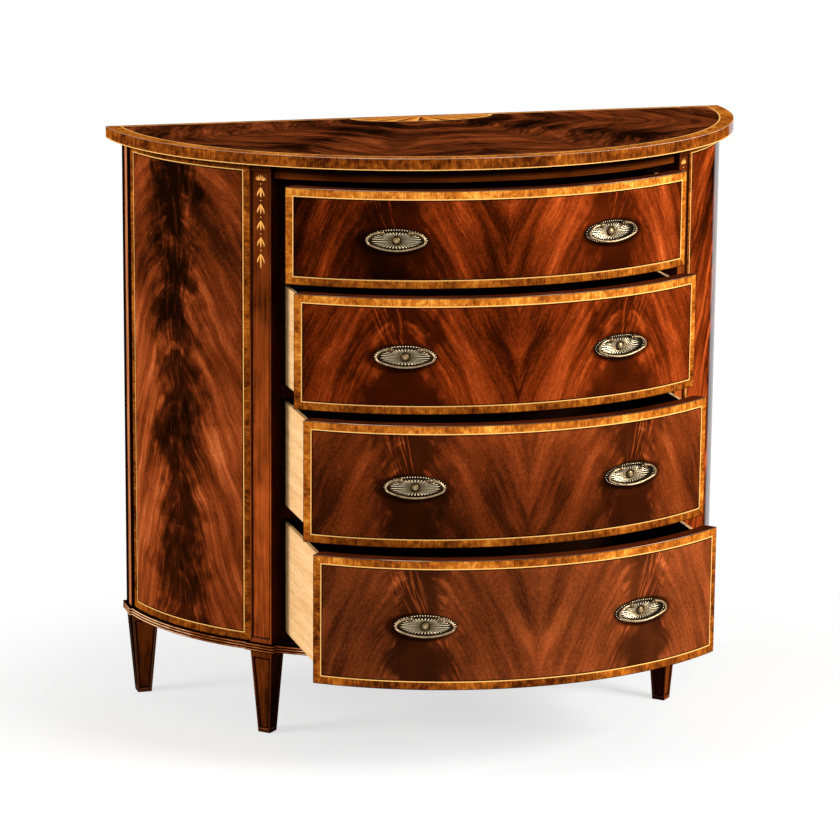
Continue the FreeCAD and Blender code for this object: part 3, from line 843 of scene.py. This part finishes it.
def huskSheets(side):
    # A crown of rays, then flowers of a straight petal between two bowed ones, each under a bead
    look = huskLook
    c = math.sqrt(0.5)
    face = postHalf - barLook["sunk"]

    def plane(a, n, z):
        # Across the post's outward face, out from it, and up
        return np.stack([side * (postX + c * (a + face + n)), postY + c * (a - face - n), z], -1)

    def straight(a0, z0, a1, z1):
        return lambda share: np.stack([a0 + (a1 - a0) * share, z0 + (z1 - z0) * share], -1)

    def curved(a0, z0, bow, length):
        return lambda share: np.stack(
            [a0 + bow * np.sin(share * 1.9) * share ** 0.5, z0 - length * share], -1)

    sheets = []
    rays = look["crownRays"]
    for ray in range(-rays, rays + 1):  # a crown of short rays over the drop
        lean = ray * look["crownLean"]
        reach = look["crownReach"] - abs(ray) * look["crownTaper"]
        foot = (ray * look["crownStep"], look["top"] - look["crownDrop"])
        tip = (foot[0] + reach * math.sin(lean), foot[1] + reach * math.cos(lean))
        sheets.append(petalSheet(straight(*foot, *tip), look["crownWidth"], plane))
    for flower in range(look["count"]):
        z = look["top"] - look["firstDrop"] - flower * look["pitch"]
        last = flower == look["count"] - 1
        length = look["petal"] * (look["lastPetal"] if last else 1.0)
        sheets.append(petalSheet(straight(0, z, 0, z - length), look["midWidth"], plane))
        for way in (-1, 1):
            root = look["leafRoot"]
            leaf = curved(way * root, z - root, way * look["leafBow"], look["petal"] * look["leafShare"])
            sheets.append(petalSheet(leaf, look["leafWidth"], plane))
        bead = straight(0, z + look["beadFrom"], 0, z + look["beadTo"])
        sheets.append(petalSheet(bead, look["beadWidth"], plane))
    return sheets


def huskFinish():
    finish = Finish("satinwoodInlay")
    x, y, z = finish.place()
    grain = finish.noise(x * 500, y * 500, z * 60, 3)
    colour = finish.ramp(grain, (0.25, tone(206, 124, 48)), (0.75, tone(254, 190, 100)))
    return finish.surface(colour, 0.32)


inlay = huskFinish()
for hand, side in hands:
    makePiece(hand + "HuskInlay", huskSheets(side), "case", (inlay,))
print("husk inlay made")


# Pulls: an oval plate with a beaded rim, a sunburst and a domed boss

plateLook = {
    "halfWidth": 0.0465, "halfHeight": 0.0177, "rim": 0.0036, "beads": 52, "rays": 34, "columns": 680,
    "fluteWidth": 0.0375, "fluteHeight": 0.0122, "ground": 0.0009, "rayHeight": 0.0017, "edge": 0.0012,
    "rimHeight": 0.0034, "beadDepth": 0.0016, "bossRadius": 0.0064, "bossHeight": 0.0048, "turned": 0.6,
    "collar": 0.0012, "dish": 0.0007, "rayFade": 0.7, "plainTone": 0.36, "bossTone": (0.32, 0.4),
}


def pullFrame(number, hand):
    # Middle of the plate on the bow, the way along the face, and the way out of it
    joint = joints["%s_bail_%d_swing" % (hand, number)]
    along = -np.array(joint["axis"])
    out = np.array([along[1], -along[0], 0.0])
    hinge = np.array(joint["pos_m"])
    low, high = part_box("drawer_%d_front" % number)
    return np.array([0, 0, (low.z + high.z) / 2]) + hinge * [1, 1, 0], along, out


def bowDrop(middle, along, out, a, forward):
    # How far out from the hinge line the bow lies, at a along the face: the near root of
    # ((x + n ox) / halfWidth)^2 + ((y + n oy) / depth)^2 = 1
    w, d = frontLook["halfWidth"], frontLook["depth"]
    x, y = middle[0] + a * along[0], middle[1] - backLine + forward + a * along[1]
    p = (out[0] / w) ** 2 + (out[1] / d) ** 2
    q = 2 * (x * out[0] / w ** 2 + y * out[1] / d ** 2)
    r = (x / w) ** 2 + (y / d) ** 2 - 1
    return (-q + np.sqrt(q * q - 4 * p * r)) / (2 * p)


def plateRings():
    # Half axes of each ring, its height, how far the beads and the rays stand there, and how far
    # the rays have turned from the rim's own angle to the straight way from the middle
    look = plateLook
    keys = ("halfWidth", "halfHeight", "ground", "edge", "turned")
    w, h, ground, edge, turned = [look[key] for key in keys]
    rings = [(w, h, 0.0, 0, 0, 0), (w, h, edge, 0, 0, 0)]
    for share in np.linspace(0, 1, 9):
        swell = math.sin(math.pi * share)
        lift = ground + (look["rimHeight"] - ground) * swell ** 0.7
        rings.append((w - look["rim"] * share, h - look["rim"] * share, lift, swell, 0, 0))
    collar = look["bossRadius"] + look["collar"]
    for share in np.linspace(0, 1, 15):
        wide = look["fluteWidth"] + (collar - look["fluteWidth"]) * share
        tall = look["fluteHeight"] + (collar - look["fluteHeight"]) * share
        rays = min(1.0, share * 7) * (1 - look["rayFade"] * share)
        rings.append((wide, tall, ground + look["dish"] * share, 0, rays, share * turned))
    for share in np.linspace(1, 0, 9):
        radius = look["bossRadius"] * share
        lift = edge + (look["bossHeight"] - edge) * math.sqrt(1 - share ** 2)
        rings.append((radius, radius, lift, 0, 0, turned))
    return np.array(rings)


def plateSheet(number, hand):
    # The rings of the plate, laid on the bow. Columns are even along the rim, so its beads are too, and
    # relief is bright on beads and rays and dark between them
    look = plateLook
    w, h = look["halfWidth"], look["halfHeight"]
    fine = np.linspace(0, 2 * np.pi, 4001)
    run = arcLength(np.stack([w * np.cos(fine), h * np.sin(fine)], -1))
    share = np.linspace(0, 1, look["columns"] + 1)
    rimAngles = np.interp(share, run / run[-1], fine)
    wide, tall, height, beads, rays, turned = [column[:, None] for column in plateRings().T]
    straight = np.unwrap(np.arctan2(h * np.sin(rimAngles), w * np.cos(rimAngles)))
    angles = rimAngles + turned * (straight - rimAngles)
    bead = np.cos(np.pi * look["beads"] * share)[None] ** 2
    ray = np.abs(np.sin(np.pi * look["rays"] * share))[None]
    a, up = wide * np.cos(angles), tall * np.sin(angles)
    lift = height - beads * (1 - bead) * look["beadDepth"] + rays * look["rayHeight"] * ray
    middle, along, out = pullFrame(number, hand)
    forward = backLine - frontLook["depth"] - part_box("drawer_%d_front" % number)[0].y
    outwards = bowDrop(middle, along, out, a, forward) + lift
    grid = middle + a[..., None] * along + outwards[..., None] * out
    grid = grid + up[..., None] * np.array([0, 0, 1.0])
    # Painted highlight, partly rubbed brass: the boss gets paler towards its crown
    crest = height / look["bossHeight"]
    foot, gain = look["bossTone"]
    onBoss = (wide <= look["bossRadius"]) * (foot + crest ** 3 * gain)
    plain = ((beads == 0) & (rays == 0) & (wide > look["bossRadius"])) * look["plainTone"]
    relief = beads * bead ** 1.5 + (rays > 0) * ray ** 3 * (0.4 + rays) + onBoss + plain
    return sheet(grid, relief=np.broadcast_to(relief, a.shape))


def plateFinish():
    finish = Finish("antiqueBrassPlate")
    x, y, z = finish.place()
    cloud = finish.noise(x * 160, y * 160, z * 160, 3)
    shade = finish.relief() + (cloud - 0.5) * 0.16
    colour = finish.ramp(shade, (0.02, tone(12, 7, 3)), (0.32, tone(42, 31, 16)),
                         (0.62, tone(122, 97, 60)), (0.92, tone(244, 224, 184)))
    return finish.surface(colour, 0.42 - finish.relief() * 0.12, specular=0.5, Metallic=0.9)


def wireFinish(name, dark, light):
    finish = Finish(name)
    x, y, z = finish.place()
    cloud = finish.noise(x * 120, y * 120, z * 120, 4)
    colour = finish.ramp(cloud, (0.25, dark), (0.75, light))
    return finish.surface(colour, 0.28 + cloud * 0.12, cloud, 0.00008, specular=0.5, Metallic=0.9)


plateBrass = plateFinish()
for number in drawers:
    makePiece("drawerPlates%d" % number, [plateSheet(number, hand) for hand, side in hands],
              "drawer_%d" % number, (plateBrass,),
              ("drawer_%d_backplates" % number,), sharp=60.0)
print("pull plates made")


# Finishes of the frame's own pieces

def paleWood(name, dark, light, along, inner=None):
    # Plain timber, with its grain along one way and, nearer the middle than `inner`, an inside face painted
    # dark as shade
    finish = Finish(name)
    x, y, z = finish.place()
    stretch = [520.0, 520.0, 520.0]
    stretch[along] = 16.0
    grain = finish.noise(x * stretch[0], y * stretch[1], z * stretch[2], 4, 0.65)
    wave = finish.noise(x * stretch[0] / 9, y * stretch[1] / 9, z * stretch[2] / 9, 3)
    ticks = finish.noise(x * stretch[0] * 2, y * stretch[1] * 4, z * stretch[2] * 2, 1).rise(0.6, 0.74)
    shade = 0.5 + (grain - 0.5) * 1.1 + (wave - 0.5) * 0.9 - ticks * 0.4
    colour = finish.ramp(shade, (0.1, dark), (0.85, light))
    if inner:
        # Painted shade on the inside face
        colour = finish.mix(abs(x).rise(inner, inner + 0.0002), tone(40, 20, 9), colour)
    return finish.surface(colour, 0.5 + (grain - 0.5) * 0.2, grain, 0.0001)


mouldingLook = {"reeds": 3}


def mouldingFinish():
    # Reeds painted bright along their crests as a highlight with some wear, and dark in the hollows between
    # them with old polish and painted shade
    low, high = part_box("base_moulding")
    finish = Finish("mouldingMahogany")
    x, y, z = finish.place()
    crest = abs(((z - low.z) * (math.pi * mouldingLook["reeds"] / (high.z - low.z))).wave())
    grain = finish.noise(x * 60, y * 60, z * 400, 4, 0.6)
    rubbedAndGlint = finish.noise(x * 7, y * 7, 3.0, 3).rise(0.42, 0.62)
    shade = crest * (0.78 + rubbedAndGlint * 0.27) + (grain - 0.5) * 0.4
    colour = finish.ramp(shade, (0.3, tone(10, 3, 1)), (0.62, tone(62, 25, 8)),
                         (0.82, tone(150, 78, 32)), (0.98, tone(240, 192, 144)))
    return finish.surface(colour, 0.34)


stileLook = {"stripFront": 0.005, "stripBack": 0.024, "soft": 0.003, "paintedLitSliver": 0.003}


def stileFinish():
    # Near-black all over as painted shade, but for a strip near the front painted pale as lit wood, and a
    # painted-light sliver along one front corner
    low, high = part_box("right_back_stile")
    finish = Finish("stileMahogany")
    x, y, z = finish.place()
    deep = y - low.y
    front, back, soft = [stileLook[key] for key in ("stripFront", "stripBack", "soft")]
    paintedLitStrip = deep.rise(front, front + soft) * (1 - deep.rise(back - soft, back))
    paintedLitStrip = paintedLitStrip * abs(x).rise(high.x - 0.0006, high.x - 0.0004)
    paintedLitSliver = (1 - deep.rise(0.0002, 0.0004)) * x.rise(high.x - stileLook["paintedLitSliver"], high.x)
    grain = finish.noise(x * 200, y * 200, z * 10, 4, 0.6)
    dark = finish.ramp(grain, (0.2, tone(8, 2, 1)), (0.8, tone(30, 9, 3)))
    pale = finish.ramp(grain, (0.25, tone(124, 58, 24)), (0.75, tone(208, 132, 84)))
    return finish.surface(finish.mix(paintedLitStrip.most(paintedLitSliver), dark, pale), 0.4)


def steelFinish():
    finish = Finish("screwSteel")
    x, y, z = finish.place()
    cloud = finish.noise(x * 400, y * 400, z * 90, 3)
    colour = finish.ramp(cloud, (0.2, tone(110, 110, 112)), (0.8, tone(190, 190, 192)))
    return finish.surface(colour, 0.35 + cloud * 0.1, specular=0.5, Metallic=1.0)


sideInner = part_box("drawer_1_right_side")[0].x + 0.0004
sideWood = paleWood("drawerSideWood", tone(196, 138, 76), tone(246, 206, 152), 1, sideInner)
# Painted shade: near-black tones for drawer backs and bottoms, runners, kickers, rails, base board and
# partitions
shadowBackWood = paleWood("drawerBackShadowWood", tone(30, 15, 6), tone(66, 36, 17), 0)
caseWood = paleWood("caseWood", tone(62, 32, 14), tone(112, 66, 34), 2)
runnerShadowWood = paleWood("runnerShadowWood", tone(12, 6, 2), tone(30, 15, 7), 1)
railShadowMahogany = solidMahogany("railShadowMahogany", tone(14, 4, 1), tone(56, 20, 7), 8.0)
jambShadowMahogany = solidMahogany("jambShadowMahogany", tone(8, 2, 1), tone(34, 10, 4), 12.0)
wireBrass = wireFinish("antiqueBrassWire", tone(112, 90, 62), tone(184, 156, 120))
boltBrass = wireFinish("antiqueBrassBolt", tone(62, 46, 27), tone(128, 104, 74))
stileMahogany = stileFinish()
nodeFinishes = {
    "back_panel": caseWood, "base_board": railShadowMahogany, "base_moulding": mouldingFinish(),
    "left_partition": jambShadowMahogany, "right_partition": jambShadowMahogany, "drawer_runners": runnerShadowWood,
    "top_kickers": runnerShadowWood, "top_screws": steelFinish(),
    "left_back_stile": stileMahogany, "right_back_stile": stileMahogany,
}
for rail in ("upper", "middle", "lower", "base"):
    nodeFinishes[rail + "_rail"] = railShadowMahogany
for number in drawers:
    named = "drawer_%d_" % number
    nodeFinishes.update({
        named + "left_side": sideWood, named + "right_side": sideWood, named + "back": shadowBackWood,
        named + "bottom": shadowBackWood, named + "pull_bolts": boltBrass,
        named + "left_bail": wireBrass, named + "right_bail": wireBrass,
    })
for name, finish in nodeFinishes.items():
    for place in nodes[name].material_slots:
        place.material = finish
print("frame pieces finished")


# Floor, light and camera

stageLook = {
    "floorSize": 30.0, "floorTone": (0.9, 0.9, 0.9, 1.0), "nearShare": 0.7, "nearGlow": 0.96,
    "reachX": 0.9, "reachY": 0.85, "near": 0.6, "far": 1.15, "worldLevel": 0.42,
}


def makeFloor():
    # Near the object the floor is part lit, so that it keeps the shadow; further off it is plain white
    look = stageLook
    half = look["floorSize"] / 2
    grid = [[(-half, -half, 0), (half, -half, 0)], [(-half, half, 0), (half, half, 0)]]
    mesh = bpy.data.meshes.new("floor")
    mesh.from_pydata(np.array(grid).reshape(-1, 3).tolist(), [], gridFaces(2, 2).tolist())
    floor = addObject("floor", mesh)
    finish = Finish("paleFloor")
    x, y, z = finish.place()
    far = (((x / look["reachX"]) ** 2 + (y / look["reachY"]) ** 2) ** 0.5).rise(look["near"], look["far"])
    share = finish.seen() * (look["nearShare"] + far * (1 - look["nearShare"]))
    glow = finish.ramp(far, (0.0, (*[look["nearGlow"]] * 3, 1.0)), (1.0, (1.0, 1.0, 1.0, 1.0)))
    plain = finish.node("ShaderNodeBsdfDiffuse", None, {"Color": look["floorTone"]})
    white = finish.node("ShaderNodeEmission", None, {"Color": glow, "Strength": 1.0})
    mixed = finish.node("ShaderNodeMixShader", None, {0: share, 1: plain, 2: white})
    finish.node("ShaderNodeOutputMaterial", None, {"Surface": mixed})
    mesh.materials.append(finish.holder)


def makeWorld():
    world = bpy.data.worlds.new("studio")
    bpy.context.scene.world = world
    finish = Finish("studio", world)
    level = stageLook["worldLevel"]
    colour = finish.mix(finish.seen(), (level, level, level, 1), (1, 1, 1, 1))
    sky = finish.node("ShaderNodeBackground", None, {"Color": colour, "Strength": 1.0})
    finish.node("ShaderNodeOutputWorld", None, {"Surface": sky})


lampLook = {
    "keyLight": {"place": (2.9, -2.9, 2.7), "size": 1.8, "watts": 320},
    "fillLight": {"place": (-4.2, 0.0, 2.0), "size": 1.6, "watts": 130},
}


def makeLamp(name, look):
    light = bpy.data.lights.new(name, "AREA")
    light.size = look["size"]
    light.energy = look["watts"]
    lamp = addObject(name, light)
    lamp.location = look["place"]
    aim = Vector((0, 0, (cadLow[2] + cadHigh[2]) / 2))
    lamp.rotation_euler = (Vector(look["place"]) - aim).to_track_quat("Z", "Y").to_euler()


cameraLook = {
    "azimuth": -16.56, "elevation": 13.06, "roll": 0.47, "distance": 5.5626,
    "target": (-0.0696, 0.06675, 0.4704), "lens": 153.8,
}


def makeCamera():
    look = cameraLook
    a, e, r = [math.radians(look[key]) for key in ("azimuth", "elevation", "roll")]
    back = Vector((math.sin(a) * math.cos(e), -math.cos(a) * math.cos(e), math.sin(e)))
    right = Vector((math.cos(a), math.sin(a), 0))
    up = back.cross(right)
    turned = math.cos(r) * right + math.sin(r) * up
    upright = back.cross(turned)
    data = bpy.data.cameras.new("camera")
    data.lens = look["lens"]
    data.sensor_width = 36.0
    data.clip_start = 0.1
    data.clip_end = 100.0
    camera = addObject("camera", data)
    place = Vector(look["target"]) + back * look["distance"]
    axes = Matrix((turned, upright, back)).transposed().to_4x4()
    camera.matrix_world = Matrix.Translation(place) @ axes
    bpy.context.scene.camera = camera


makeFloor()
makeWorld()
for name, look in lampLook.items():
    makeLamp(name, look)
makeCamera()
bpy.context.scene.view_settings.view_transform = "Standard"
print("stage set")
